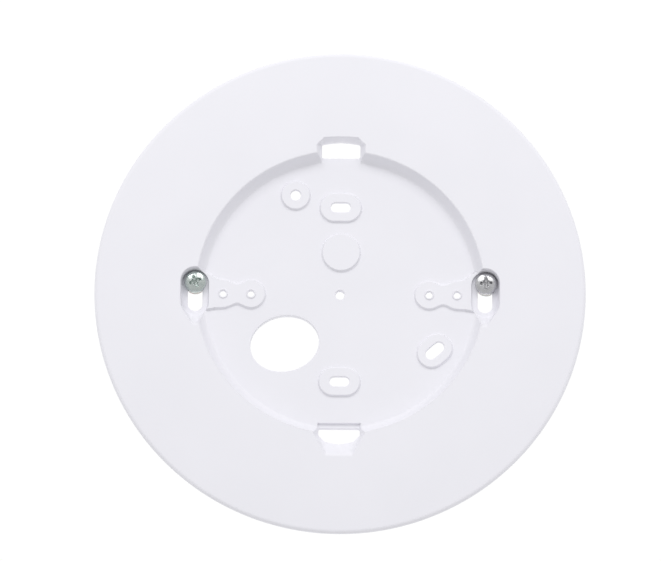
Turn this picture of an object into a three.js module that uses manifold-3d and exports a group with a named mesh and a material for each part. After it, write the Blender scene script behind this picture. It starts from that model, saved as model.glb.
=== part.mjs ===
// Round mounting plate of a smoke detector, with its two captive fixing screws.
//
// The plate is one plastic moulding: a shallow dished flange, a recess in its middle that seats the
// detector, and slots and holes for several standard box pitches. Each fixing screw stands in a
// slotted pocket and is kept there by a retaining washer behind the plate.
//
// Frame: origin on the plate's centre line in the plane of its back, +Z out of its front, +Y towards
// its top as it hangs. All lengths are in millimetres.

import * as THREE from 'three';
import { mergeVertices } from 'three/addons/utils/BufferGeometryUtils.js';
import { ConvexGeometry } from 'three/addons/geometries/ConvexGeometry.js';
import Module from 'manifold-3d';

const wasm = await Module();
wasm.setup();

// ---- Driving dimensions --------------------------------------------------------------------------

const CLEAR = 1;                   // how far a cutter runs past the face it cuts
const PLATE_R = 70;
const SKIN = 2;                    // wall thickness of the moulding

const FLOOR_Z = 2.4;               // front face of the recess floor, whose back is the seating plane
const LIP_Z = 6.5;                 // crest of the flange, round the recess
const RIM_Z = 5.6;                 // the flange falls to this height before its rounded rim
const RIM_ROUND = 1.2;
const SKIRT = 1.8;                 // thickness of the rim's turned-back edge
const RIM_FOOT_R = 69.1;           // the turned-back edge draws in towards its foot
const RECESS_FOOT_R = 38.6;
const RECESS_LIP_R = 41.4;
const SUNK_Z = 5;                  // top of the walls that stand behind the flange, inside its skin
const WALL_START_R = 41;           // those walls begin at this radius, behind the sloping recess wall

// Pockets and windows are wells. The outline of a well at one height is the hull of a few discs,
// each given as [x, y, radius] about the well's own origin.
const SLOT_PITCH_X = 82.6;         // between the pockets of the two fixing screws
const SCREW_Y = 3.3;               // the screws rest at the top ends of their slots
const SCREW_TRAVEL = 6.1;
const RIGHT_SCREW_PLAY = 0.3;      // the right screw stands this far outwards in its slot
const SCREW_SLOT = [[0, 3.3, 2.1], [0, -2.8, 2.1]];
const POCKET_FLOOR_Z = 2;
const POCKET_FLOOR = [[0, 2.9, 3.75], [0, -2.5, 3.75]];
const POCKET_LIP = [[0, 2.9, 4.2], [0, -3, 4.2], [0, -8.7, 1]];
const WELL_WALL = 1.4;             // thickness of the walls behind the flange, round pockets and windows
const POCKET_COLLAR = [[0, 2.9, 4.7], [0, 0, 4.7]];
const BRIDGE = { x: 38.2, r: 4 };  // low pad between a pocket's collar and the pilot bosses
const RELIEF_Z = 0.8;              // depth of the washer's relief in the plate's back
const RELIEF_R = 3.5;

const BOSS_Z = 3.2;
const BOSS_R = 4.1;
const CORE_WALL = 1.2;             // the back is cored out behind each boss, this far inside its outline
const CORE_Z = 1.6;
const INNER_PILOT_PITCH = 50.8;
const OUTER_PILOT_PITCH = 66.7;
const PILOT_R = 0.95;
const PILOT_RIM = { r: 1.45, rise: 0.3 };
const PILOT_NECK = 3;              // half the width of the bridge between two pilot bosses

const SLOT_PITCH = 50.8;           // the two level slots
const WALL_SLOT = { run: 1.45, r: 1.4 };
const WALL_SLOT_BOSS_RUN = 1.8;
const ROUND_HOLE = { x: -12.9, y: 28.9, r: 1.5 };
const SLANT_SLOT = { x: 27.1, y: -16.2, run: 1.5, r: 1.55, bossRun: 1.2 };
const CENTRE_HOLE_R = 1.3;
const DISC = { x: 0.2, y: 12.3, r: 5.45 };
const WIRE_HOLE = { x: -15.7, y: -14.3, rx: 9.85, ry: 8.05, turn: THREE.MathUtils.degToRad(13) };

const BAY_START = 37;              // the windows' bays start inside the recess, at this distance
const TOP_OPENING = [[4.9, 40.5, 0.6], [4.9, 43.7, 0.6], [0, 44.3, 0.6]];
const TOP_LIP = [[6.3, BAY_START, 0.6], [6.3, 42.8, 0.6], [4.6, 44.5, 0.6], [0, 44.7, 0.6]];
const LOW_OPENING = [[5.3, -39.5, 0.6], [5.3, -40.5, 0.6], [3.6, -42.1, 0.6], [0, -42.8, 0.6]];
const LOW_LIP = [[6.6, -BAY_START, 0.6], [6.6, -41.3, 0.6], [3.4, -46.8, 0.6]];
const LEDGE_NEAR = 37.9;
const LEDGE_Z = 1.6;

const RIB_COUNT = 8;
const RIB_WIDTH = 1.4;
const RIB_FOOT_Z = 1.6;

const HEAD_R = 3.1;
const HEAD_HEIGHT = 2.5;
const HEAD_CROWN_R = 9;            // the top of the head is part of a sphere
const HEAD_EDGE_R = 0.8;           // and its edge is rounded down to a straight side
const HEAD_GAP = 0.1;              // running gap between the head and the pocket floor
const SHANK_R = 1.7;
const SHANK_LENGTH = 8;
const TIP = 0.6;
const CROSS_SPAN = 3.8;
const CROSS_WIDTH = 1.05;
const CROSS_DEPTH = 1.5;

const WASHER = { r: 3, bore: 2, z: 0.1, thickness: 0.6 };

const ROUND_STEPS = 96;
const SMALL_STEPS = 28;

// ---- From three.js geometry to solids and back ---------------------------------------------------

function solid(geometry) {
  const bare = geometry.index ? geometry.toNonIndexed() : geometry.clone();
  bare.deleteAttribute('normal');
  bare.deleteAttribute('uv');
  const merged = mergeVertices(bare, 1e-5);
  return new wasm.Manifold(new wasm.Mesh({
    numProp: 3,
    vertProperties: new Float32Array(merged.attributes.position.array),
    triVerts: new Uint32Array(merged.index.array),
  }));
}

function geometryOf(body) {
  const mesh = body.getMesh();
  const geometry = new THREE.BufferGeometry();
  geometry.setAttribute('position', new THREE.BufferAttribute(new Float32Array(mesh.vertProperties), 3));
  geometry.setIndex(new THREE.BufferAttribute(new Uint32Array(mesh.triVerts), 1));
  geometry.computeVertexNormals();
  return geometry;
}

function revolve(profile, steps) {
  const points = profile.map(([r, z]) => new THREE.Vector2(r, z));
  const geometry = new THREE.LatheGeometry(points, steps);
  geometry.rotateX(Math.PI / 2);
  return solid(geometry);
}

function rise(shape, low, high) {
  const options = { depth: high - low, bevelEnabled: false, curveSegments: SMALL_STEPS / 2 };
  const geometry = new THREE.ExtrudeGeometry(shape, options);
  geometry.translate(0, 0, low);
  return solid(geometry);
}

function loft(lowPoints, low, highPoints, high) {
  const points = [];
  lowPoints.forEach(([x, y]) => points.push(new THREE.Vector3(x, y, low)));
  highPoints.forEach(([x, y]) => points.push(new THREE.Vector3(x, y, high)));
  return solid(new ConvexGeometry(points));
}

// ---- Outlines ------------------------------------------------------------------------------------

function polygon(points) {
  return new THREE.Shape(points.map(([x, y]) => new THREE.Vector2(x, y)));
}

// Points round every disc of a well's outline, grown by an amount and moved to the well's place.
function discPoints(discs, x = 0, y = 0, grow = 0) {
  const points = [];
  for (const [discX, discY, r] of discs) {
    for (const mirror of discX === 0 ? [1] : [1, -1]) {
      for (let i = 0; i < SMALL_STEPS; i += 1) {
        const turn = (2 * Math.PI * i) / SMALL_STEPS;
        points.push([
          x + mirror * discX + (r + grow) * Math.cos(turn),
          y + discY + (r + grow) * Math.sin(turn),
        ]);
      }
    }
  }
  return points;
}

// A prism whose outline is the hull of the discs.
function hull(discs, low, high, x = 0, y = 0, grow = 0) {
  const points = discPoints(discs, x, y, grow);
  return loft(points, low, points, high);
}

// The prism of a stadium, its two ends a distance "run" each way from its middle.
function stadium(x, y, run, r, angle, low, high) {
  const ends = [-1, 1].map((end) => [end * run * Math.cos(angle), end * run * Math.sin(angle), r]);
  const points = ends.flatMap(([endX, endY]) => discPoints([[0, 0, r]], x + endX, y + endY));
  return loft(points, low, points, high);
}

function disc(x, y, r) {
  return new THREE.Shape().absarc(x, y, r, 0, 2 * Math.PI);
}

function box(x0, x1, y0, y1) {
  return polygon([[x0, y0], [x1, y0], [x1, y1], [x0, y1]]);
}

// ---- The plate -----------------------------------------------------------------------------------

function dishedDisc() {
  const slope = (LIP_Z - RIM_Z) / (PLATE_R - RIM_ROUND - RECESS_LIP_R);
  const wallLean = (RECESS_LIP_R - RECESS_FOOT_R) / (LIP_Z - FLOOR_Z);
  const wallBackR = RECESS_FOOT_R + SKIN * Math.hypot(1, wallLean) - FLOOR_Z * wallLean;
  const underLipZ = LIP_Z - SKIN - slope;
  const skirtR = PLATE_R - SKIRT;
  const profile = [
    [0, 0],
    [wallBackR, 0],
    [wallBackR + underLipZ * wallLean, underLipZ],
    [skirtR, RIM_Z - SKIN],
    [RIM_FOOT_R - SKIRT, 0],
    [RIM_FOOT_R, 0],
    [PLATE_R, RIM_Z - RIM_ROUND],
  ];
  for (const turn of [30, 60, 90]) {
    const a = THREE.MathUtils.degToRad(turn);
    profile.push([PLATE_R - RIM_ROUND * (1 - Math.cos(a)), RIM_Z - RIM_ROUND * (1 - Math.sin(a))]);
  }
  profile.push([RECESS_LIP_R, LIP_Z], [RECESS_FOOT_R, FLOOR_Z], [0, FLOOR_Z]);
  return revolve(profile, ROUND_STEPS);
}

// Walls of pockets and windows stand behind the flange, clear of the recess.
function behindFlange(wall) {
  return wall.subtract(rise(disc(0, 0, WALL_START_R), -CLEAR, LIP_Z + CLEAR));
}

function through(shape) {
  return rise(shape, -CLEAR, LIP_Z + CLEAR);
}

function slantAngle() {
  const alongX = SLANT_SLOT.x - ROUND_HOLE.x;
  const alongY = SLANT_SLOT.y - ROUND_HOLE.y;
  return Math.atan2(alongY, alongX) + Math.PI / 2;
}

// The outlines of the bosses, drawn in by an amount, as prisms between two heights.
function bosses(drawnIn, low, high) {
  const r = BOSS_R - drawnIn;
  const neck = PILOT_NECK - drawnIn;
  const parts = [
    rise(disc(DISC.x, DISC.y, DISC.r - drawnIn), low, high),
    rise(disc(ROUND_HOLE.x, ROUND_HOLE.y, r), low, high),
    stadium(SLANT_SLOT.x, SLANT_SLOT.y, SLANT_SLOT.bossRun, r, slantAngle(), low, high),
  ];
  for (const side of [-1, 1]) {
    const inner = (side * INNER_PILOT_PITCH) / 2;
    const outer = (side * OUTER_PILOT_PITCH) / 2;
    parts.push(rise(disc(inner, 0, r), low, high));
    parts.push(rise(disc(outer, 0, r), low, high));
    parts.push(rise(box(Math.min(inner, outer), Math.max(inner, outer), -neck, neck), low, high));
    parts.push(stadium(0, (side * SLOT_PITCH) / 2, WALL_SLOT_BOSS_RUN, r, 0, low, high));
  }
  return parts;
}

// The same upright disc at each of the four pilot holes.
function atPilots(r, low, high) {
  const places = [INNER_PILOT_PITCH, -INNER_PILOT_PITCH, OUTER_PILOT_PITCH, -OUTER_PILOT_PITCH];
  return places.map((pitch) => rise(disc(pitch / 2, 0, r), low, high));
}

function smallHoles() {
  const wire = WIRE_HOLE;
  const slant = SLANT_SLOT;
  const wireHole = new THREE.Shape();
  wireHole.absellipse(wire.x, wire.y, wire.rx, wire.ry, 0, 2 * Math.PI, false, wire.turn);
  const parts = [
    through(disc(0, 0, CENTRE_HOLE_R)),
    through(disc(ROUND_HOLE.x, ROUND_HOLE.y, ROUND_HOLE.r)),
    stadium(slant.x, slant.y, slant.run, slant.r, slantAngle(), -CLEAR, LIP_Z),
    through(wireHole),
    ...atPilots(PILOT_R, -CLEAR, LIP_Z),
  ];
  for (const side of [-1, 1]) {
    parts.push(stadium(0, (side * SLOT_PITCH) / 2, WALL_SLOT.run, WALL_SLOT.r, 0, -CLEAR, LIP_Z));
  }
  return parts;
}

// A pocket's walls are steep at its sides and top, and lean back as a ramp at its lower end.
function pocketWalls(x) {
  const wall = behindFlange(hull(POCKET_LIP, 0, SUNK_Z, x, 0, WELL_WALL));
  const collar = hull(POCKET_COLLAR, 0, BOSS_Z, x);
  const bridge = rise(disc(Math.sign(x) * BRIDGE.x, 0, BRIDGE.r), 0, BOSS_Z);
  return wall.add(collar).add(bridge);
}

function pocketCut(x) {
  const dish = loft(discPoints(POCKET_FLOOR, x), POCKET_FLOOR_Z, discPoints(POCKET_LIP, x), LIP_Z);
  const mouth = hull(POCKET_LIP, LIP_Z, LIP_Z + CLEAR, x);
  const slot = hull(SCREW_SLOT, -CLEAR, LIP_Z, x);
  const washerPath = [[0, SCREW_Y, RELIEF_R], [0, SCREW_Y - SCREW_TRAVEL, RELIEF_R]];
  const relief = hull(washerPath, -CLEAR, RELIEF_Z, x);
  return dish.add(mouth).add(slot).add(relief);
}

// A window's well: an opening right through, and side walls that lean out to its lip.
function windowCut(opening, bayFloor, lip) {
  const well = loft(discPoints(bayFloor), FLOOR_Z, discPoints(lip), LIP_Z);
  const mouth = hull(lip, LIP_Z, LIP_Z + CLEAR);
  return hull(opening, -CLEAR, LIP_Z).add(well).add(mouth);
}

function topWindowCut() {
  const [near, ...far] = TOP_OPENING;
  return windowCut(TOP_OPENING, [[near[0], BAY_START, near[2]], ...far], TOP_LIP);
}

function lowWindowCut() {
  const [near, ...far] = LOW_OPENING;
  const [halfWidth, , corner] = near;
  const ledge = [[halfWidth, -LEDGE_NEAR - corner, corner], near];
  return windowCut(LOW_OPENING, [[halfWidth, -BAY_START, corner], ...far], LOW_LIP)
    .add(hull(ledge, LEDGE_Z, LIP_Z));
}

function windowWalls(lip) {
  return behindFlange(hull(lip, 0, SUNK_Z, 0, 0, WELL_WALL));
}

function ribs() {
  const parts = [];
  for (let i = 0; i < RIB_COUNT; i += 1) {
    const length = PLATE_R - SKIRT / 2 - WALL_START_R - SKIN;
    const geometry = new THREE.BoxGeometry(length, RIB_WIDTH, SUNK_Z - RIB_FOOT_Z - 1);
    geometry.translate(WALL_START_R + SKIN + length / 2, 0, (SUNK_Z - 1 + RIB_FOOT_Z) / 2);
    geometry.rotateZ(((i + 0.5) * 2 * Math.PI) / RIB_COUNT);
    parts.push(solid(geometry));
  }
  return parts;
}

function mountingPlate() {
  const pilotRims = atPilots(PILOT_RIM.r, 0, BOSS_Z + PILOT_RIM.rise);
  const walls = [windowWalls(TOP_LIP), windowWalls(LOW_LIP)];
  const added = [...ribs(), ...bosses(0, 0, BOSS_Z), ...pilotRims, ...walls];
  const cut = [...bosses(CORE_WALL, -CLEAR, CORE_Z), ...smallHoles(), topWindowCut(), lowWindowCut()];
  for (const side of [-1, 1]) {
    added.push(pocketWalls((side * SLOT_PITCH_X) / 2));
    cut.push(pocketCut((side * SLOT_PITCH_X) / 2));
  }
  let body = dishedDisc();
  for (const piece of added) {
    body = body.add(piece);
  }
  for (const piece of cut) {
    body = body.subtract(piece);
  }
  return geometryOf(body);
}

// ---- The fixing screws and their retaining washers -----------------------------------------------

// Profile of the pan head: its side, its rounded edge and its crown, which flow into each other.
function headProfile() {
  const edgeX = HEAD_R - HEAD_EDGE_R;
  const reach = HEAD_CROWN_R - HEAD_EDGE_R;
  const tilt = Math.asin(edgeX / reach);
  const crownZ = HEAD_HEIGHT - HEAD_CROWN_R;
  const edgeZ = crownZ + reach * Math.cos(tilt);
  const steps = 4;
  const profile = [[HEAD_R, 0]];
  for (let i = 0; i <= steps; i += 1) {
    const a = Math.PI / 2 + ((tilt - Math.PI / 2) * i) / steps;
    profile.push([edgeX + HEAD_EDGE_R * Math.sin(a), edgeZ + HEAD_EDGE_R * Math.cos(a)]);
  }
  for (let i = 1; i < steps; i += 1) {
    const a = tilt * (1 - i / steps);
    profile.push([HEAD_CROWN_R * Math.sin(a), crownZ + HEAD_CROWN_R * Math.cos(a)]);
  }
  profile.push([0, HEAD_HEIGHT]);
  return profile;
}

// Pan-head screw with a cross recess, its seat at height zero.
function screw(turn) {
  const profile = [
    [0, -SHANK_LENGTH],
    [SHANK_R - TIP, -SHANK_LENGTH],
    [SHANK_R, -SHANK_LENGTH + TIP],
    [SHANK_R, 0],
    ...headProfile(),
  ];
  let body = revolve(profile, SMALL_STEPS);
  for (const quarter of [0, 1]) {
    const angle = turn + (quarter * Math.PI) / 2;
    const wing = (span, width) => [[-1, -1], [1, -1], [1, 1], [-1, 1]].map(([u, v]) => [
      (u * span * Math.cos(angle)) / 2 - (v * width * Math.sin(angle)) / 2,
      (u * span * Math.sin(angle)) / 2 + (v * width * Math.cos(angle)) / 2,
    ]);
    const bottom = wing(CROSS_SPAN / 3, CROSS_WIDTH / 2);
    const top = wing(CROSS_SPAN, CROSS_WIDTH);
    body = body.subtract(loft(bottom, HEAD_HEIGHT - CROSS_DEPTH, top, HEAD_HEIGHT + 0.1));
  }
  return geometryOf(body);
}

function retainingWasher() {
  const shape = disc(0, 0, WASHER.r);
  shape.holes.push(new THREE.Path().absarc(0, 0, WASHER.bore, 0, 2 * Math.PI, true));
  return geometryOf(rise(shape, 0, WASHER.thickness));
}

// ---- Assembly ------------------------------------------------------------------------------------

function part(name, geometry, material, position = [0, 0, 0]) {
  const mesh = new THREE.Mesh(geometry, material);
  mesh.name = name;
  mesh.position.set(...position);
  return mesh;
}

const whitePlastic = new THREE.MeshStandardMaterial({ color: 0xecebf0, roughness: 0.55, metalness: 0 });
const zincPlate = new THREE.MeshStandardMaterial({ color: 0xb9bdbc, roughness: 0.3, metalness: 1 });
const clearNylon = new THREE.MeshStandardMaterial({ color: 0xe9e9e4, roughness: 0.45, metalness: 0 });

const SCREWS = [
  { side: 'left', x: -SLOT_PITCH_X / 2, turn: THREE.MathUtils.degToRad(22) },
  { side: 'right', x: SLOT_PITCH_X / 2 + RIGHT_SCREW_PLAY, turn: THREE.MathUtils.degToRad(2) },
];

const model = new THREE.Group();
model.add(part('mounting_plate', mountingPlate(), whitePlastic));
for (const { side, x, turn } of SCREWS) {
  model.add(part(`${side}_screw`, screw(turn), zincPlate, [x, SCREW_Y, POCKET_FLOOR_Z + HEAD_GAP]));
  model.add(part(`${side}_retaining_washer`, retainingWasher(), clearNylon, [x, SCREW_Y, WASHER.z]));
}

export default model;
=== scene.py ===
"""Looks of a smoke detector's mounting plate and its two captive fixing screws.

The plate is a white plastic moulding. Its front and its back are height fields over one flat mesh,
which is fine where the surface bends. The screws and their nylon washers are turned shapes. Heights
and outlines are in millimetres in the part's own frame, and the meshes are in metres.
"""

import math

import bpy
import numpy as np
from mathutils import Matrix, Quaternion, Vector, geometry


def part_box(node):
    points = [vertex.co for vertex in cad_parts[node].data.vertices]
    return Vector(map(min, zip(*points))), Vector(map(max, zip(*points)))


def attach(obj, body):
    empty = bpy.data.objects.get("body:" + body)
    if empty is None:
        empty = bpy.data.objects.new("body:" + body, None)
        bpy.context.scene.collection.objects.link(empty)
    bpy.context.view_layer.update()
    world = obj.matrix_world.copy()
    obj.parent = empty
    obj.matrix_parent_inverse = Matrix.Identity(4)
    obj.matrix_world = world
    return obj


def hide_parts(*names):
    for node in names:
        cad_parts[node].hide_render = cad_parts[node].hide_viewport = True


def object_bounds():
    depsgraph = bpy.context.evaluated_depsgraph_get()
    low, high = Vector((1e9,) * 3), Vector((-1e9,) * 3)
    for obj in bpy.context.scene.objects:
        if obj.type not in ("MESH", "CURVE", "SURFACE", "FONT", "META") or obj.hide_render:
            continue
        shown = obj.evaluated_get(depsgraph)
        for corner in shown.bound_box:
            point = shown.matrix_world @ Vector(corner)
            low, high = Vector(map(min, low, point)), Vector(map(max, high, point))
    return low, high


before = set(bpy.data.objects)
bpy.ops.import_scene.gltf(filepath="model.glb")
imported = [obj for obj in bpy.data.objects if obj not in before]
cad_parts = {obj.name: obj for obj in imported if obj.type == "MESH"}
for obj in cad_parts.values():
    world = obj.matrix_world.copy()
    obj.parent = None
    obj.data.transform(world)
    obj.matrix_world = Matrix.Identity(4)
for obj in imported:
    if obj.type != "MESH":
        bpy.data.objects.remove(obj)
cad_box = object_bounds()

MM = 0.001                         # metres in a millimetre

# ---- Sizes, in millimetres -------------------------------------------------------------------------

plate_low, plate_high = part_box("mounting_plate")
PLATE_R = (plate_high.x - plate_low.x) / 2 / MM
LIP_Z = plate_high.z / MM          # crest of the flange, round the recess
SKIN = 2.0                         # wall thickness of the moulding
FLOOR_Z = 2.4                      # front face of the recess floor
RIM_Z = 5.6                        # the flange falls to this height before its rounded rim
RIM_ROUND = 1.2
SKIRT_R = PLATE_R - 1.8            # inner face of the rim's turned-back edge
RIM_FOOT_R = PLATE_R - 0.9         # the turned-back edge draws in towards its foot
FOOT_ROUND = 0.3                   # its two lower corners are rounded over this width and height
WALL_FOOT_R = 38.8                 # the recess wall steepens from this radius up to its lip
WALL_TOP_R = 41.2
WALL_POWER = 1.6                   # how sharply it steepens
BACK_LEAN = (WALL_TOP_R - WALL_FOOT_R) / (LIP_Z - FLOOR_Z)
BACK_FOOT_R = WALL_FOOT_R + SKIN * math.hypot(1, BACK_LEAN) - FLOOR_Z * BACK_LEAN

# An outline is the hull of discs, each (x, y, radius). A disc beside x = 0 has a mirror twin.
POCKET_X = 82.6 / 2
POCKET_FLOOR_Z = 2.0
POCKET_FLOOR = [(0, 2.9, 3.75), (0, -2.5, 3.75)]
POCKET_LIP = [(0, 2.9, 4.2), (0, -3.0, 4.2), (0, -8.7, 1.0)]
SCREW_SLOT = [(0, 3.3, 2.1), (0, -2.8, 2.1)]
WASHER_RELIEF = [(0, 3.3, 3.5), (0, -2.8, 3.5)]
RELIEF_Z = 0.8
POCKET_COLLAR = [(0, 2.9, 4.7), (0, 0, 4.7)]
BRIDGE_X, BRIDGE_R = 38.2, 4.0     # low pad between a pocket's collar and the pilot pads
WELL_WALL = 1.4                    # thickness of the walls behind the pockets and the windows
STEEPEST = 0.12                    # a well's wall is at least this wide, seen from above

BAY_START = 37.0                   # the windows' bays start this far above and below the centre
TOP_OPENING = [(4.9, 40.5, 0.6), (4.9, 43.7, 0.6), (0, 44.3, 0.6)]
TOP_BAY = [(4.9, BAY_START, 0.6), (4.9, 43.7, 0.6), (0, 44.3, 0.6)]
TOP_LIP = [(6.3, BAY_START, 0.6), (6.3, 42.8, 0.6), (4.6, 44.5, 0.6), (0, 44.7, 0.6)]
LOW_OPENING = [(5.3, -39.5, 0.6), (5.3, -40.5, 0.6), (3.6, -42.1, 0.6), (0, -42.8, 0.6)]
LOW_BAY = [(5.3, -BAY_START, 0.6), (5.3, -40.5, 0.6), (3.6, -42.1, 0.6), (0, -42.8, 0.6)]
LOW_LIP = [(6.6, -BAY_START, 0.6), (6.6, -41.3, 0.6), (3.4, -46.8, 0.6)]
LEDGE_Y = -37.35                   # the low window's bay drops to a ledge beyond this line
LEDGE_Z = 1.6
LEDGE_FALL = 0.3                   # width of the slope down to the ledge

PAD_Z = 3.2                        # tops of the raised pads round the holes
PAD_R = 4.15
PAD_FALL = 0.42                    # width of a pad's sloping side
PAD_OUT = 0.4                      # share of that width which lies outside the pad's outline
CORE_R = 2.9                       # the back is cored out behind the pads
CORE_Z = 1.6
PILOTS_X = [50.8 / 2, 66.7 / 2]
PILOT_R = 0.95
PILOT_RIM_R = 1.45                 # a low rim stands round each pilot hole
PILOT_RIM_Z = 3.5
PILOT_RIM_FALL = 0.25              # width of its sloping side
LEVEL_SLOT_Y = 50.8 / 2
LEVEL_SLOT = [(1.45, 0, 1.4)]
LEVEL_PAD = [(1.8, 0, PAD_R)]
ROUND_HOLE = (-12.9, 28.9, 1.5)
SLANT = (27.1, -16.2)
SLANT_RUN = 1.5
SLANT_R = 1.55
SLANT_PAD_RUN = 1.2
DISC = (0.2, 12.3, 5.45)
CENTRE_HOLE = (0, 0, 1.3)
WIRE_HOLE = (-15.7, -14.3)
WIRE_AXES = (9.85, 8.05)
WIRE_TURN = math.radians(13)

LIP_SOFT = 0.5                     # two faces flow into each other where they are this close
BAY_SOFT = 0.6
LOW_SOFT = 0.3
HOLLOW_SOFT = 0.8
PAD_SOFT = 3.4                     # and so do the sides of the pads of one group

RIBS = 8
RIB_WIDTH = 1.4
RIB_FOOT_Z = 1.6
RIB_FROM_R = 43.5
RIB_START = 2.0                    # a rib comes up to its height over this length
RIB_FALL = 0.15                    # width of a rib's sloping side
BACK_FALL = 0.2                    # width of the steep walls on the back
EDGE = 0.22                        # rounding of the edges of holes

# ---- Outlines: hulls of discs ----------------------------------------------------------------------

TURNS = np.radians(np.arange(0, 360, 5))
AHEAD = np.stack([np.cos(TURNS), np.sin(TURNS)], axis=1)


def placed(discs, x=0.0, y=0.0, turn=0.0):
    """The discs and their mirror twins across the outline's own middle, turned and moved."""
    c, s = math.cos(turn), math.sin(turn)
    made = []
    for dx, dy, r in discs:
        for side in ((1,) if dx == 0 else (1, -1)):
            made.append((x + side * dx * c - dy * s, y + side * dx * s + dy * c, r))
    return made


def ellipse(x, y, axes, turn):
    """An ellipse as its own reach in every direction, with the point that gives it."""
    a, b = axes
    local = TURNS - turn
    reach = np.hypot(a * np.cos(local), b * np.sin(local))
    u, v = a * a * np.cos(local) / reach, b * b * np.sin(local) / reach
    c, s = math.cos(turn), math.sin(turn)
    return np.stack([x + u * c - v * s, y + u * s + v * c], axis=1)


def corners(discs):
    """For every direction, the furthest point of the hull of the discs."""
    found = []
    for direction in AHEAD:
        best = max(discs, key=lambda d: d[0] * direction[0] + d[1] * direction[1] + d[2])
        found.append((best[0] + best[2] * direction[0], best[1] + best[2] * direction[1]))
    return np.array(found)


def grown(points, by):
    return points + AHEAD * by


def distance(x, y, points):
    """Distance from a convex outline, negative inside it."""
    best = np.full(np.shape(x), -np.inf)
    for (dx, dy), (px, py) in zip(AHEAD, points):
        best = np.maximum(best, (x - px) * dx + (y - py) * dy)
    return best


def climb(x, y, low, high):
    """How far up a well's wall a point lies: 0 at its low outline, 1 at its lip."""
    best = np.full(np.shape(x), -np.inf)
    for (dx, dy), (px, py), (qx, qy) in zip(AHEAD, low, high):
        width = max((qx - px) * dx + (qy - py) * dy, STEEPEST)
        best = np.maximum(best, ((x - px) * dx + (y - py) * dy) / width)
    return best


def smooth_min(a, b, k):
    """The lower of two heights, blended where they differ by less than k."""
    h = np.maximum(k - np.abs(a - b), 0) / k
    return np.minimum(a, b) - h * h * k / 4


def smooth_max(a, b, k):
    return -smooth_min(-a, -b, k)


def ease(t):
    """A smooth rise from 0 to 1."""
    t = np.clip(t, 0, 1)
    return t * t * (3 - 2 * t)


slant_turn = math.atan2(SLANT[1] - ROUND_HOLE[1], SLANT[0] - ROUND_HOLE[0]) + math.pi / 2

pockets = []
for centre_x in (-POCKET_X, POCKET_X):
    pockets.append({
        "floor": corners(placed(POCKET_FLOOR, centre_x)),
        "lip": corners(placed(POCKET_LIP, centre_x)),
        "collar": corners(placed(POCKET_COLLAR, centre_x)),
        "slot": corners(placed(SCREW_SLOT, centre_x)),
        "relief": corners(placed(WASHER_RELIEF, centre_x)),
    })

top_window = {name: corners(placed(discs)) for name, discs in
              (("opening", TOP_OPENING), ("bay", TOP_BAY), ("lip", TOP_LIP))}
low_window = {name: corners(placed(discs)) for name, discs in
              (("opening", LOW_OPENING), ("bay", LOW_BAY), ("lip", LOW_LIP))}

pad_groups = [
    [corners([DISC])],
    [corners([(ROUND_HOLE[0], ROUND_HOLE[1], PAD_R)])],
    [corners(placed([(SLANT_PAD_RUN, 0, PAD_R)], *SLANT, slant_turn))],
    [corners(placed(LEVEL_PAD, 0, LEVEL_SLOT_Y))],
    [corners(placed(LEVEL_PAD, 0, -LEVEL_SLOT_Y))],
]
for side, pocket in zip((-1, 1), pockets):
    bridge = corners([(side * BRIDGE_X, 0, BRIDGE_R)])
    pad_groups.append([corners([(side * x, 0, PAD_R)]) for x in PILOTS_X] + [bridge, pocket["collar"]])

cores = [
    corners([(DISC[0], DISC[1], DISC[2] - PAD_R + CORE_R)]),
    corners([(ROUND_HOLE[0], ROUND_HOLE[1], CORE_R)]),
    corners(placed([(SLANT_PAD_RUN, 0, CORE_R)], *SLANT, slant_turn)),
    corners(placed([(LEVEL_PAD[0][0], 0, CORE_R)], 0, LEVEL_SLOT_Y)),
    corners(placed([(LEVEL_PAD[0][0], 0, CORE_R)], 0, -LEVEL_SLOT_Y)),
]
cores += [corners([(side * x, 0, CORE_R)]) for side in (-1, 1) for x in PILOTS_X]
pilot_rims = [corners([(side * x, 0, PILOT_RIM_R)]) for side in (-1, 1) for x in PILOTS_X]

small_holes = [
    corners([CENTRE_HOLE]),
    corners([ROUND_HOLE]),
    corners(placed([(SLANT_RUN, 0, SLANT_R)], *SLANT, slant_turn)),
    corners(placed(LEVEL_SLOT, 0, LEVEL_SLOT_Y)),
    corners(placed(LEVEL_SLOT, 0, -LEVEL_SLOT_Y)),
]
for side in (-1, 1):
    small_holes += [corners([(side * x, 0, PILOT_R)]) for x in PILOTS_X]
wire_hole = ellipse(*WIRE_HOLE, WIRE_AXES, WIRE_TURN)
holes = small_holes + [wire_hole, top_window["opening"], low_window["opening"]]
holes += [pocket["slot"] for pocket in pockets]


# ---- Heights of the plate's two faces --------------------------------------------------------------

def bare_front(r):
    """The flange, the soft wall of the recess and its floor, with nothing on them.

    The flange and the wall both run on a little past their ends, so that they can be joined."""
    out = np.clip((r - WALL_TOP_R) / (PLATE_R - RIM_ROUND - WALL_TOP_R), 0, 1.1)
    dome = LIP_Z - (LIP_Z - RIM_Z) * out * out
    up = np.clip((r - WALL_FOOT_R) / (WALL_TOP_R - WALL_FOOT_R), 0, 1.5)
    wall = FLOOR_Z + (LIP_Z - FLOOR_Z) * up ** WALL_POWER
    return smooth_min(wall, dome, LIP_SOFT)


def pad_distance(x, y):
    """Distance from the raised pads. Pads of one group flow into each other."""
    best = np.full(np.shape(x), np.inf)
    for group in pad_groups:
        joined = distance(x, y, group[0])
        for points in group[1:]:
            joined = smooth_min(joined, distance(x, y, points), PAD_SOFT)
        best = np.minimum(best, joined)
    return best


def rounding(d):
    """How much the edge of a hole is rounded off, at a distance from the hole."""
    t = 1 - np.clip(d / EDGE, 0, 1)
    return EDGE * (1 - np.sqrt(np.maximum(1 - t * t, 0)))


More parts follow.
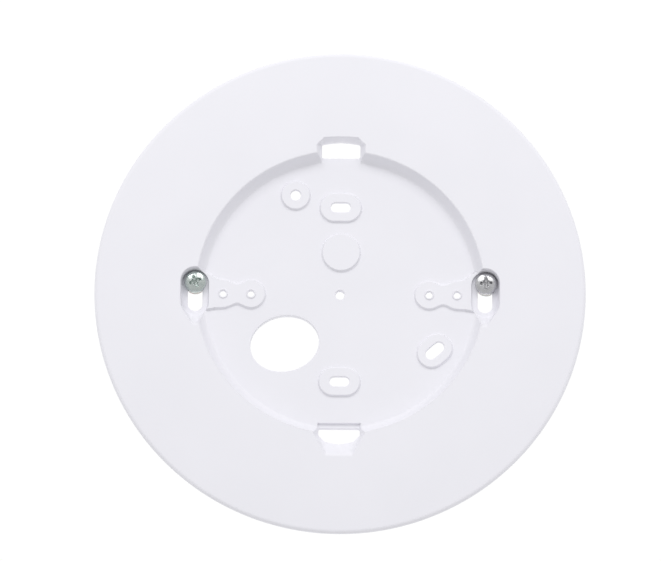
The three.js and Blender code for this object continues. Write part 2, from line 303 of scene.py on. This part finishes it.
def front_height(x, y):
    h = bare_front(np.hypot(x, y))
    pad = FLOOR_Z + (PAD_Z - FLOOR_Z) * ease(PAD_OUT - pad_distance(x, y) / PAD_FALL)
    h = np.maximum(h, pad)
    for points in pilot_rims:
        rim = ease(0.5 - distance(x, y, points) / PILOT_RIM_FALL)
        h = np.maximum(h, FLOOR_Z + (PILOT_RIM_Z - FLOOR_Z) * rim)
    for pocket in pockets:
        level = climb(x, y, pocket["floor"], pocket["lip"])
        wall = POCKET_FLOOR_Z + (LIP_Z - POCKET_FLOOR_Z) * level
        h = np.minimum(h, smooth_max(smooth_min(h, wall, LIP_SOFT), POCKET_FLOOR_Z, LIP_SOFT))
    ledge = LEDGE_Z + (FLOOR_Z - LEDGE_Z) * ease((y - LEDGE_Y) / LEDGE_FALL + 1)
    for window, foot, low in ((top_window, FLOOR_Z, FLOOR_Z), (low_window, LEDGE_Z, ledge)):
        level = climb(x, y, window["bay"], window["lip"])
        wall = foot + (LIP_Z - foot) * level
        h = np.minimum(h, smooth_max(smooth_min(h, wall, BAY_SOFT), low, LOW_SOFT))
    for points in holes:
        h = h - rounding(distance(x, y, points))
    return h


def back_height(x, y):
    r = np.hypot(x, y)
    hollow = smooth_min(np.maximum(r - BACK_FOOT_R, 0) / BACK_LEAN, bare_front(r) - SKIN, HOLLOW_SOFT)
    h = np.maximum(hollow, 0)
    turn = (np.arctan2(y, x) / (2 * np.pi) * RIBS - 0.5) % 1
    aside = np.abs(turn - np.round(turn)) * 2 * np.pi / RIBS * r - RIB_WIDTH / 2
    rib = ease(1 - aside / RIB_FALL) * ease((r - RIB_FROM_R) / RIB_START)
    h = np.minimum(h, h + (RIB_FOOT_Z - h) * rib)
    wells = [pocket["lip"] for pocket in pockets] + [top_window["lip"], low_window["lip"]]
    for lip in wells:
        h = h * ease((distance(x, y, lip) - WELL_WALL) / BACK_FALL)
    for pocket in pockets:
        relief = ease(0.5 - distance(x, y, pocket["relief"]) / BACK_FALL)
        h = np.maximum(h, RELIEF_Z * relief)
    for points in cores:
        h = np.maximum(h, CORE_Z * ease(0.5 - distance(x, y, points) / BACK_FALL))
    for points in holes:
        h = h + rounding(distance(x, y, points)) / 2
    return h


# ---- The flat mesh that both faces share -----------------------------------------------------------

# Mesh lines beside an outline, as distances outwards from it
HOLE_STEPS = (0, 0.03, 0.09, EDGE, 0.5)
LIP_STEPS = (0.05, 0.2, 0.45)
BACK_STEPS = (-0.1, 0, 0.1)
PILOT_RIM_STEPS = (-0.13, -0.04, 0.04, 0.13)
STEEP_STEPS = (-0.05, 0, 0.05, 0.1, 0.15, 0.2, 0.25)
WELL_STEPS = (-0.1, 0.05, 0.25, 0.5, 0.75, 0.95)     # up a well's wall, as shares of its width
MERGE = 0.004                      # points closer than this become one
SLOPE_STEP = 0.03                  # a slope is measured over twice this length


def ring(radius, step):
    """Points on a circle round the origin, no further apart than a step."""
    count = int(math.ceil(2 * math.pi * radius / step))
    turn = 2 * np.pi * np.arange(count) / count
    return np.stack([radius * np.cos(turn), radius * np.sin(turn)], axis=1)


def spaced(points, step):
    """A closed outline with extra points, so that no edge is longer than a step."""
    made = []
    for a, b in zip(points, np.roll(points, -1, axis=0)):
        span = math.dist(a, b)
        if span > 1e-6:
            count = int(math.ceil(span / step))
            made += [a + (b - a) * i / count for i in range(count)]
    return np.array(made)


def grid(x0, x1, y0, y1, step):
    """A grid of points with every second column shifted by half a step."""
    xs, ys = np.meshgrid(np.arange(x0, x1, step), np.arange(y0, y1, step))
    ys[:, ::2] += step / 2
    return np.stack([xs.ravel(), ys.ravel()], axis=1)


def triangulate(loops, loose):
    """Flat triangles through closed loops, kept as edges, and through loose points."""
    points = np.concatenate(loops + loose)
    edges, start = [], 0
    for loop in loops:
        count = len(loop)
        edges += [(start + i, start + (i + 1) % count) for i in range(count)]
        start += count
    made = geometry.delaunay_2d_cdt([Vector(p) for p in points], edges, [], 0, MERGE, False)
    return np.array([tuple(v) for v in made[0]]), np.array(made[2])


def plate_loops():
    """Mesh lines: rings for the flange and the recess wall, and lines beside every outline. They lie
    close together where the surface bends."""
    loops = [ring(SKIRT_R, 1.2)]
    loops += [ring(r, 2.0) for r in np.arange(46, SKIRT_R - 1, 3.5)]
    loops += [ring(r, 0.8) for r in np.arange(WALL_FOOT_R - 0.2, WALL_TOP_R + 0.8, 0.4)]
    for points in holes:
        loops += [spaced(grown(points, by), 0.4) for by in HOLE_STEPS]
    wells = [(p["floor"], p["lip"]) for p in pockets]
    wells += [(w["bay"], w["lip"]) for w in (top_window, low_window)]
    for low, high in wells:
        loops += [spaced(low + (high - low) * t, 0.4) for t in WELL_STEPS]
        loops += [spaced(grown(high, by), 0.45) for by in LIP_STEPS]
        loops += [spaced(grown(high, WELL_WALL + by), 0.5) for by in STEEP_STEPS]
    for pocket in pockets:
        loops += [spaced(grown(pocket["relief"], by), 0.5) for by in BACK_STEPS]
        loops += [spaced(pocket["collar"], 0.5)]
    for points in cores:
        loops += [spaced(grown(points, by), 0.5) for by in BACK_STEPS]
    for points in pilot_rims:
        loops += [spaced(grown(points, by), 0.25) for by in PILOT_RIM_STEPS]
    for i in range(RIBS):
        turn = (i + 0.5) * 2 * math.pi / RIBS
        along = np.array([math.cos(turn), math.sin(turn)])
        across = np.array([-along[1], along[0]])
        for half in (RIB_WIDTH / 2 + by for by in STEEP_STEPS):
            near, far = RIB_FROM_R, SKIRT_R - 0.05
            box = [along * near - across * half, along * far - across * half,
                   along * far + across * half, along * near + across * half]
            loops.append(spaced(np.array(box), 0.7))
    return loops


def plate_loose():
    """Loose mesh points: a coarse grid on the floor, and fine ones on the sloping sides of the pads
    and at the ledge."""
    floor = grid(-WALL_FOOT_R, WALL_FOOT_R, -WALL_FOOT_R, WALL_FOOT_R, 2.2)
    floor = floor[np.hypot(*floor.T) < WALL_FOOT_R - 0.6]
    fine = grid(-WALL_FOOT_R, WALL_FOOT_R, -WALL_FOOT_R, WALL_FOOT_R, 0.15)
    beside = pad_distance(*fine.T)
    on_floor = np.hypot(*fine.T) < WALL_FOOT_R + 0.4
    fine = fine[(beside > -PAD_FALL * 1.2) & (beside < PAD_FALL * 1.1) & on_floor]
    ledge = grid(-6.2, 6.2, LEDGE_Y - 1.2, LEDGE_Y + 0.3, 0.12)
    return [floor, fine, ledge]


def slope_normals(height, x, y, up):
    """Normals of a height field, from its own slope."""
    dx = (height(x + SLOPE_STEP, y) - height(x - SLOPE_STEP, y)) / (2 * SLOPE_STEP)
    dy = (height(x, y + SLOPE_STEP) - height(x, y - SLOPE_STEP)) / (2 * SLOPE_STEP)
    made = np.stack([-dx, -dy, np.ones_like(x)], axis=1) * up
    return made / np.linalg.norm(made, axis=1)[:, None]


def open_edges(faces):
    """Directed edges that only one face uses."""
    edges = np.concatenate([faces[:, [0, 1]], faces[:, [1, 2]], faces[:, [2, 0]]])
    base = faces.max() + 1
    forward = edges[:, 0] * base + edges[:, 1]
    backward = edges[:, 1] * base + edges[:, 0]
    return edges[~np.isin(forward, backward)]


def side_normals(points, edges):
    """At each point of the open edges, the level direction out of the sheet."""
    out = np.zeros((len(points), 3))
    run = points[edges[:, 1]] - points[edges[:, 0]]
    right = np.stack([run[:, 1], -run[:, 0], np.zeros(len(run))], axis=1)
    np.add.at(out, edges[:, 0], right)
    np.add.at(out, edges[:, 1], right)
    return out / np.maximum(np.linalg.norm(out, axis=1), 1e-9)[:, None]


def mesh_object(name, points, faces, normals=None):
    """A smooth mesh from points in millimetres. Where normals are given, there is one for every
    corner of every face, and the zero ones are left to Blender."""
    mesh = bpy.data.meshes.new(name)
    mesh.from_pydata((np.asarray(points) * MM).tolist(), [], [tuple(map(int, f)) for f in faces])
    mesh.polygons.foreach_set("use_smooth", [True] * len(mesh.polygons))
    if normals is not None:
        mesh.normals_split_custom_set(np.asarray(normals).tolist())
    mesh.update()
    obj = bpy.data.objects.new(name, mesh)
    bpy.context.scene.collection.objects.link(obj)
    return obj


def lathe_down(points, faces, edges, profile):
    """Carries the open rim of a sheet through rings, each given as a radius and a height. A radius
    is a number or a function of the turn. It adds the faces, and returns the points, the faces, the
    place of each rim point in a ring, and the last ring."""
    rim = np.unique(edges)
    turn = np.arctan2(points[rim, 1], points[rim, 0])
    at = {int(v): i for i, v in enumerate(rim)}
    previous = rim
    for radius, height in profile:
        r = radius(turn) if callable(radius) else np.full(len(turn), radius)
        z = np.full(len(turn), height)
        fresh = np.arange(len(points), len(points) + len(rim))
        points = np.concatenate([points, np.stack([r * np.cos(turn), r * np.sin(turn), z], axis=1)])
        for a, b in edges:
            i, j = at[int(a)], at[int(b)]
            faces.append((previous[i], fresh[i], fresh[j], previous[j]))
        previous = fresh
    return points, faces, at, previous


def rim_profile():
    """Radius and height round the rim: its rounded top, its outer face, and the two edges of its
    foot. It keeps its thickness down to the foot."""
    profile = []
    foot = RIM_Z - RIM_ROUND
    for turn in np.radians(np.arange(0, 91, 9)):
        profile.append((PLATE_R - RIM_ROUND * (1 - math.sin(turn)), foot + RIM_ROUND * math.cos(turn)))
    inner = RIM_FOOT_R - PLATE_R + SKIRT_R
    profile += [(RIM_FOOT_R + 0.06, FOOT_ROUND), (RIM_FOOT_R - 0.06, 0.09), (RIM_FOOT_R - FOOT_ROUND, 0)]
    profile += [(inner + FOOT_ROUND, 0), (inner + 0.08, 0.09), (inner + 0.04, FOOT_ROUND)]
    return profile


def mounting_plate():
    flat, tris = triangulate(plate_loops(), plate_loose())
    x, y = flat[tris].mean(axis=1).T
    keep = np.hypot(x, y) < SKIRT_R
    for points in holes:
        keep &= distance(x, y, points) > 0
    tris = tris[keep]
    used, tris = np.unique(tris, return_inverse=True)
    flat, tris = flat[used], tris.reshape(-1, 3)
    x, y = flat.T
    count = len(flat)
    front, back = front_height(x, y), back_height(x, y)
    points = np.concatenate([np.stack([x, y, front], axis=1), np.stack([x, y, back], axis=1)])
    edges = open_edges(tris)
    outer = np.hypot(*flat[edges[:, 0]].T) > SKIRT_R - 1
    level = side_normals(flat, edges)
    front_n = slope_normals(front_height, x, y, 1)
    back_n = slope_normals(back_height, x, y, -1)
    faces = [tuple(t) for t in tris] + [tuple(t[::-1] + count) for t in tris]
    normals = [front_n[v] for t in tris for v in t] + [back_n[v] for t in tris for v in t[::-1]]
    for a, b in edges[~outer]:
        faces.append((a, a + count, b + count, b))
        normals += [level[a], level[a], level[b], level[b]]
    before = len(faces)
    points, faces, at, last = lathe_down(points, faces, edges[outer], rim_profile())
    for a, b in edges[outer]:
        i, j = at[int(a)], at[int(b)]
        faces.append((last[i], a + count, b + count, last[j]))
    normals += [(0, 0, 0)] * sum(len(f) for f in faces[before:])
    return mesh_object("plate_moulding", points, faces, normals)


# ---- Screws and washers ----------------------------------------------------------------------------

HEAD_CROWN_R = 9.0                 # the top of the head is part of a sphere
HEAD_EDGE_R = 0.8                  # and its edge is rounded down to a straight side
HEAD_HEIGHT = 2.5                  # from the seat up to the crown
HEAD_LOW_ROUND = 0.12              # rounding of its lower edge
CROSS_SPAN = 3.7                   # the cross recess, from end to end of a wing at the dome
CROSS_WIDTH = 0.95
CROSS_DEPTH = 1.55
CROSS_TURNS = {"left": 22, "right": 2}
WING_FLAT = 0.62                   # share of a wing's half length before its end slopes up
WING_END_RISE = 1.05               # share of the way to the dome that it has come at the wing's end
SIDE_FLAT = 0.36                   # the same two across a wing, the first as a share of its width
SIDE_RISE = 1.5
MIDDLE_R = 0.42                    # the round middle of the cross, and the width of its own wall
MIDDLE_WALL = 0.625
MIDDLE_DIP = 0.385                 # the floor dips this much towards the centre, within this radius
MIDDLE_DIP_R = 0.5
WING_SOFT = 0.4                    # soft corners within the cross, as shares of its depth
CUT_SOFT = 0.3
FLOOR_SOFT = 0.15                  # and where it meets its floor and the dome, in millimetres
DOME_SOFT = 0.09
CROSS_MARGIN = 0.15                # the head's fine mesh reaches this far past the cross
THREAD_PITCH = 0.79
THREAD_R = 1.7
THREAD_DEPTH = 0.3
THREAD_RINGS = 9                   # rings of the mesh in one turn of the thread
RIDGE_LEVEL = 1.25                 # above 1, so that the ridge has a flat crest
RIDGE_SLOPE = 3.2
NECK = 0.5                         # plain length under the head
TIP = 0.7                          # length of the tapered tip
TIP_END = 0.62                     # its radius at the very end, as a share of the root's
TIP_RIDGE = 0.15                   # the ridge runs out this share of the tip's length past the end

WASHER_BORE = 1.95
WASHER_EDGE = 0.12                 # rounding of its edges
TONGUES = 4                        # its bore is nicked into this many tongues
NICK_DEPTH = 0.35
NICK_WIDTH = 0.07                  # half a nick's width, as a share of a tongue


def screw_sizes(node):
    low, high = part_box(node)
    return {
        "x": (low.x + high.x) / 2 / MM,
        "y": (low.y + high.y) / 2 / MM,
        "r": (high.x - low.x) / 2 / MM,
        "top": high.z / MM,
        "tip": low.z / MM,
        "seat": high.z / MM - HEAD_HEIGHT,
    }


def head_height(size, turn):
    """The domed top of a head with its cross recess: four tapered wings round a deeper middle."""
    edge_x = size["r"] - HEAD_EDGE_R
    reach = HEAD_CROWN_R - HEAD_EDGE_R
    tilt = math.asin(edge_x / reach)
    crown_z = size["top"] - HEAD_CROWN_R
    edge_z = crown_z + reach * math.cos(tilt)
    c, s = math.cos(turn), math.sin(turn)

    def height(x, y):
        r = np.hypot(x, y)
        crown = crown_z + np.sqrt(np.maximum(HEAD_CROWN_R ** 2 - r ** 2, 0))
        edge = edge_z + np.sqrt(np.maximum(HEAD_EDGE_R ** 2 - (r - edge_x) ** 2, 0))
        dome = np.where(r < HEAD_CROWN_R * math.sin(tilt), crown, edge)
        along, across = x * c + y * s, y * c - x * s
        cut = np.full(np.shape(x), np.inf)
        for u, v in ((along, across), (across, along)):
            end = (np.abs(u) - CROSS_SPAN / 2 * WING_FLAT) / (CROSS_SPAN / 2 * (1 - WING_FLAT))
            side = (np.abs(v) - CROSS_WIDTH * SIDE_FLAT) / (CROSS_WIDTH * (0.5 - SIDE_FLAT))
            wing = smooth_max(end * WING_END_RISE, side * SIDE_RISE, WING_SOFT)
            cut = smooth_min(cut, wing, CUT_SOFT)
        cut = smooth_min(cut, (r - MIDDLE_R) / MIDDLE_WALL, CUT_SOFT)
        floor = size["top"] - CROSS_DEPTH + MIDDLE_DIP * np.clip(r / MIDDLE_DIP_R, 0, 1) ** 2
        recess = smooth_max(floor + (dome - floor) * np.minimum(cut, 3), floor, FLOOR_SOFT)
        return smooth_min(dome, recess, DOME_SOFT)

    return height


def thread(z, seat, tip):
    """The radius of the thread at one height, as a function of the turn."""
    def radius(turn):
        phase = (z / THREAD_PITCH - turn / (2 * np.pi)) % 1
        ridge = np.clip(RIDGE_LEVEL - np.abs(phase - 0.5) * RIDGE_SLOPE, 0, 1)
        fade = ease((seat - NECK - z) / THREAD_PITCH) * ease((z - tip) / TIP + TIP_RIDGE)
        root = THREAD_R - THREAD_DEPTH
        taper = root * (TIP_END + (1 - TIP_END) * ease((z - tip) / TIP))
        return taper + THREAD_DEPTH * ridge * fade

    return radius


def screw(node, turn):
    size = screw_sizes(node)
    seat, tip, r = size["seat"], size["tip"], size["r"]
    loops = [ring(r - HEAD_EDGE_R * (1 - math.cos(a)), 0.2) for a in np.radians(np.arange(0, 71, 10))]
    reach = CROSS_SPAN / 2 + CROSS_MARGIN
    half = reach + 0.05
    fine = grid(-half, half, -half, half, 0.055)
    fine = fine[np.hypot(*fine.T) < reach]
    coarse = grid(-r, r, -r, r, 0.28)
    away = np.hypot(*coarse.T)
    coarse = coarse[(away < r - HEAD_EDGE_R * 0.75) & (away > reach)]
    flat, tris = triangulate(loops, [fine, coarse])
    x, y = flat.T
    height = head_height(size, turn)
    points = np.stack([x, y, height(x, y)], axis=1)
    faces = [tuple(t) for t in tris]
    top = slope_normals(height, x, y, 1)
    normals = [top[v] for t in tris for v in t]
    edges = open_edges(tris)
    side = points[edges[0, 0], 2]
    low = HEAD_LOW_ROUND
    profile = [(r, side - 0.1), (r, seat + low), (r - low / 3, seat + low / 3), (r - low, seat)]
    # the fillet under the head, the thread, and the flat end
    profile += [(THREAD_R + 0.25, seat), (THREAD_R + 0.08, seat - 0.04), (THREAD_R - 0.05, seat - 0.16)]
    for z in np.arange(seat - 0.3, tip + 0.1, -THREAD_PITCH / THREAD_RINGS):
        profile.append((thread(z, seat, tip), z))
    profile += [(THREAD_R * 0.4, tip), (0.15, tip)]
    before = len(faces)
    points, faces, _, last = lathe_down(points, faces, edges, profile)
    faces.append(tuple(last[np.argsort(-np.arctan2(*points[last][:, 1::-1].T))]))
    normals += [(0, 0, 0)] * sum(len(f) for f in faces[before:])
    return mesh_object(node + "_turned", points + [size["x"], size["y"], 0], faces, normals)


def washer(node):
    """A flat nylon washer with rounded edges and a bore nicked into holding tongues."""
    low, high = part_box(node)
    x, y = (low.x + high.x) / 2 / MM, (low.y + high.y) / 2 / MM
    outer, z0, z1 = (high.x - low.x) / 2 / MM, low.z / MM, high.z / MM
    bore, edge = WASHER_BORE, WASHER_EDGE
    section = []
    for cx, cz, start in ((outer - edge, z0 + edge, -90), (outer - edge, z1 - edge, 0),
                          (bore + edge, z1 - edge, 90), (bore + edge, z0 + edge, 180)):
        for turn in np.radians([start, start + 30, start + 60, start + 90]):
            section.append((cx + edge * math.cos(turn), cz + edge * math.sin(turn)))
    steps = 96
    points, faces = [], []
    for i in range(steps):
        turn = 2 * math.pi * i / steps
        nick = NICK_DEPTH * ease(1 - abs((i / steps * TONGUES) % 1 - 0.5) / NICK_WIDTH)
        for r, z in section:
            away = r + nick * (1 - ease((r - bore) / (outer - bore) * 2))
            points.append((x + away * math.cos(turn), y + away * math.sin(turn), z))
    width = len(section)
    for i in range(steps):
        for j in range(width):
            a, b = i * width + j, i * width + (j + 1) % width
            c, d = (b + width) % len(points), (a + width) % len(points)
            faces.append((a, d, c, b))
    return mesh_object(node + "_moulded", points, faces)


plate = mounting_plate()
screws = {side: screw(side + "_screw", math.radians(turn)) for side, turn in CROSS_TURNS.items()}
washers = {side: washer(side + "_retaining_washer") for side in CROSS_TURNS}


# ---- Materials -------------------------------------------------------------------------------------

NOISE_LOW, NOISE_HIGH = 0.3, 0.7   # nearly all of the noise lies between these


def material(name, colour, roughness, metallic=0.0):
    made = bpy.data.materials.new(name)
    made.use_nodes = True
    shader = made.node_tree.nodes["Principled BSDF"]
    shader.inputs["Base Color"].default_value = (*colour, 1)
    shader.inputs["Roughness"].default_value = roughness
    shader.inputs["Metallic"].default_value = metallic
    return made, made.node_tree, shader


def noise(tree, scale, detail):
    """Noise over the object's own coordinates, which move with the piece."""
    place = tree.nodes.new("ShaderNodeTexCoord")
    texture = tree.nodes.new("ShaderNodeTexNoise")
    texture.inputs["Scale"].default_value = scale
    texture.inputs["Detail"].default_value = detail
    tree.links.new(place.outputs["Object"], texture.inputs["Vector"])
    return texture.outputs["Fac"]


def between_colours(tree, value, low, high):
    """A colour that goes from one to another as the noise rises."""
    node = tree.nodes.new("ShaderNodeValToRGB")
    for stop, position, colour in zip(node.color_ramp.elements, (NOISE_LOW, NOISE_HIGH), (low, high)):
        stop.position = position
        stop.color = (*colour, 1)
    tree.links.new(value, node.inputs["Fac"])
    return node.outputs["Color"]


def between(tree, value, low, high):
    """A number that goes from one to another as the noise rises."""
    node = tree.nodes.new("ShaderNodeMapRange")
    node.inputs["From Min"].default_value = NOISE_LOW
    node.inputs["From Max"].default_value = NOISE_HIGH
    node.inputs["To Min"].default_value = low
    node.inputs["To Max"].default_value = high
    tree.links.new(value, node.inputs["Value"])
    return node.outputs["Result"]


def bump(tree, shader, value, height):
    """Tiny bumps in the surface, their height in metres."""
    node = tree.nodes.new("ShaderNodeBump")
    node.inputs["Distance"].default_value = height
    node.inputs["Strength"].default_value = 1
    tree.links.new(value, node.inputs["Height"])
    tree.links.new(node.outputs["Normal"], shader.inputs["Normal"])


def white_plastic():
    """Matte white moulded plastic with a fine spark-eroded skin and a faint cloudiness."""
    made, tree, shader = material("white_plastic", (0.86, 0.855, 0.9), 0.5)
    cloud = noise(tree, scale=60, detail=2)
    colour = between_colours(tree, cloud, (0.855, 0.85, 0.895), (0.868, 0.862, 0.908))
    tree.links.new(colour, shader.inputs["Base Color"])
    skin = noise(tree, scale=5200, detail=2)
    tree.links.new(between(tree, skin, 0.44, 0.58), shader.inputs["Roughness"])
    bump(tree, shader, skin, height=0.000006)
    shader.inputs["Specular IOR Level"].default_value = 0.4
    return made


def zinc_plate(name, low, high):
    """Bright zinc plating: a fine grain, slightly uneven gloss and a hint of passivation colour."""
    made, tree, shader = material(name, high, 0.24, 1.0)
    tint = noise(tree, scale=900, detail=3)
    tree.links.new(between_colours(tree, tint, low, high), shader.inputs["Base Color"])
    grain = noise(tree, scale=2600, detail=4)
    tree.links.new(between(tree, grain, 0.16, 0.34), shader.inputs["Roughness"])
    bump(tree, shader, grain, height=0.00001)
    return made


def nylon():
    """Natural nylon: milky, a little waxy, with light passing into it."""
    made, tree, shader = material("nylon", (0.86, 0.86, 0.82), 0.42)
    cloud = noise(tree, scale=700, detail=3)
    colour = between_colours(tree, cloud, (0.82, 0.82, 0.78), (0.88, 0.88, 0.85))
    tree.links.new(colour, shader.inputs["Base Color"])
    tree.links.new(between(tree, cloud, 0.36, 0.5), shader.inputs["Roughness"])
    bump(tree, shader, cloud, height=0.00001)
    shader.inputs["Subsurface Weight"].default_value = 0.15
    shader.inputs["Subsurface Scale"].default_value = 0.0008
    return made


def dress(piece, made, node, body):
    piece.data.materials.append(made)
    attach(piece, body)
    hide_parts(node)


dress(plate, white_plastic(), "mounting_plate", "plate")
zinc = {
    "left": zinc_plate("zinc_plate_green", (0.50, 0.56, 0.54), (0.60, 0.65, 0.62)),
    "right": zinc_plate("zinc_plate", (0.52, 0.52, 0.53), (0.62, 0.62, 0.63)),
}
clear_nylon = nylon()
for side in CROSS_TURNS:
    dress(screws[side], zinc[side], side + "_screw", side + "_screw")
    dress(washers[side], clear_nylon, side + "_retaining_washer", side + "_washer")


# ---- Floor, light and camera -----------------------------------------------------------------------

SEEN_WHITE = 1.02                  # just past white, so that the background is plain
SKY_LEVEL = 0.69
SKY_BLUE = 1.01                    # a trace more blue than red and green
FLOOR_HALF = 6.0                   # metres, as are the next three
FLOOR_GAP = 0.0002                 # the floor lies this far below the lowest solid
KEY_PLACE = (0.54, 1.1, 1.33)      # one of the two soft boxes. The other is its mirror twin
KEY_SIZE = (0.56, 0.7)
KEY_POWER = 6.6
CAMERA_AZIMUTH = 0.8               # degrees
CAMERA_ELEVATION = 77.5
CAMERA_ROLL = -0.35
CAMERA_AWAY = 4.0                  # metres. So far off that the view has hardly any perspective
CAMERA_LENS = 763.6
CAMERA_AIM = (-2.77, 4.7, 0)       # millimetres


def glow(name, strength):
    """A material that gives off plain white light."""
    made = bpy.data.materials.new(name)
    made.use_nodes = True
    nodes = made.node_tree.nodes
    nodes.clear()
    light = nodes.new("ShaderNodeEmission")
    light.inputs["Color"].default_value = (1, 1, 1, 1)
    light.inputs["Strength"].default_value = strength
    out = nodes.new("ShaderNodeOutputMaterial")
    made.node_tree.links.new(light.outputs["Emission"], out.inputs["Surface"])
    return made


def lit_floor():
    """A pale floor lit from within, as a light table is, so that no shadow falls on it."""
    mesh = bpy.data.meshes.new("floor")
    z = cad_box[0].z - FLOOR_GAP
    square = [(x * FLOOR_HALF, y * FLOOR_HALF, z) for x, y in ((-1, -1), (1, -1), (1, 1), (-1, 1))]
    mesh.from_pydata(square, [], [(0, 1, 2, 3)])
    floor = bpy.data.objects.new("floor", mesh)
    mesh.materials.append(glow("floor_glow", SEEN_WHITE))
    bpy.context.scene.collection.objects.link(floor)


def sky(level):
    """Soft light from all round, which the camera itself sees as white."""
    world = bpy.data.worlds.new("studio")
    bpy.context.scene.world = world
    world.use_nodes = True
    tree = world.node_tree
    soft = tree.nodes["Background"]
    soft.inputs["Color"].default_value = (level, level, level * SKY_BLUE, 1)
    seen = tree.nodes.new("ShaderNodeBackground")
    seen.inputs["Color"].default_value = (1, 1, 1, 1)
    seen.inputs["Strength"].default_value = SEEN_WHITE
    path = tree.nodes.new("ShaderNodeLightPath")
    mix = tree.nodes.new("ShaderNodeMixShader")
    tree.links.new(path.outputs["Is Camera Ray"], mix.inputs["Fac"])
    tree.links.new(soft.outputs["Background"], mix.inputs[1])
    tree.links.new(seen.outputs["Background"], mix.inputs[2])
    tree.links.new(mix.outputs["Shader"], tree.nodes["World Output"].inputs["Surface"])


def key_light(side):
    """One of the two soft boxes, which face the origin."""
    x, y, z = KEY_PLACE
    place = Vector((side * x, y, z))
    data = bpy.data.lights.new("key", "AREA")
    data.shape = "RECTANGLE"
    data.size, data.size_y = KEY_SIZE
    data.energy = KEY_POWER
    light = bpy.data.objects.new("key", data)
    bpy.context.scene.collection.objects.link(light)
    light.location = place
    light.rotation_euler = (-place).to_track_quat("-Z", "Y").to_euler()


def camera():
    azimuth, elevation = math.radians(CAMERA_AZIMUTH), math.radians(CAMERA_ELEVATION)
    data = bpy.data.cameras.new("camera")
    data.sensor_width = 36
    data.lens = CAMERA_LENS
    data.clip_start = 0.01
    data.clip_end = 50
    cam = bpy.data.objects.new("camera", data)
    bpy.context.scene.collection.objects.link(cam)
    level = math.cos(elevation)
    back = Vector((math.sin(azimuth) * level, -math.cos(azimuth) * level, math.sin(elevation)))
    cam.location = Vector(CAMERA_AIM) * MM + back * CAMERA_AWAY
    cam.rotation_mode = "QUATERNION"
    roll = Quaternion((0, 0, 1), math.radians(CAMERA_ROLL))
    cam.rotation_quaternion = (-back).to_track_quat("-Z", "Y") @ roll
    bpy.context.scene.camera = cam


lit_floor()
sky(SKY_LEVEL)
for side in (-1, 1):
    key_light(side)
camera()
bpy.context.scene.view_settings.view_transform = "Standard"
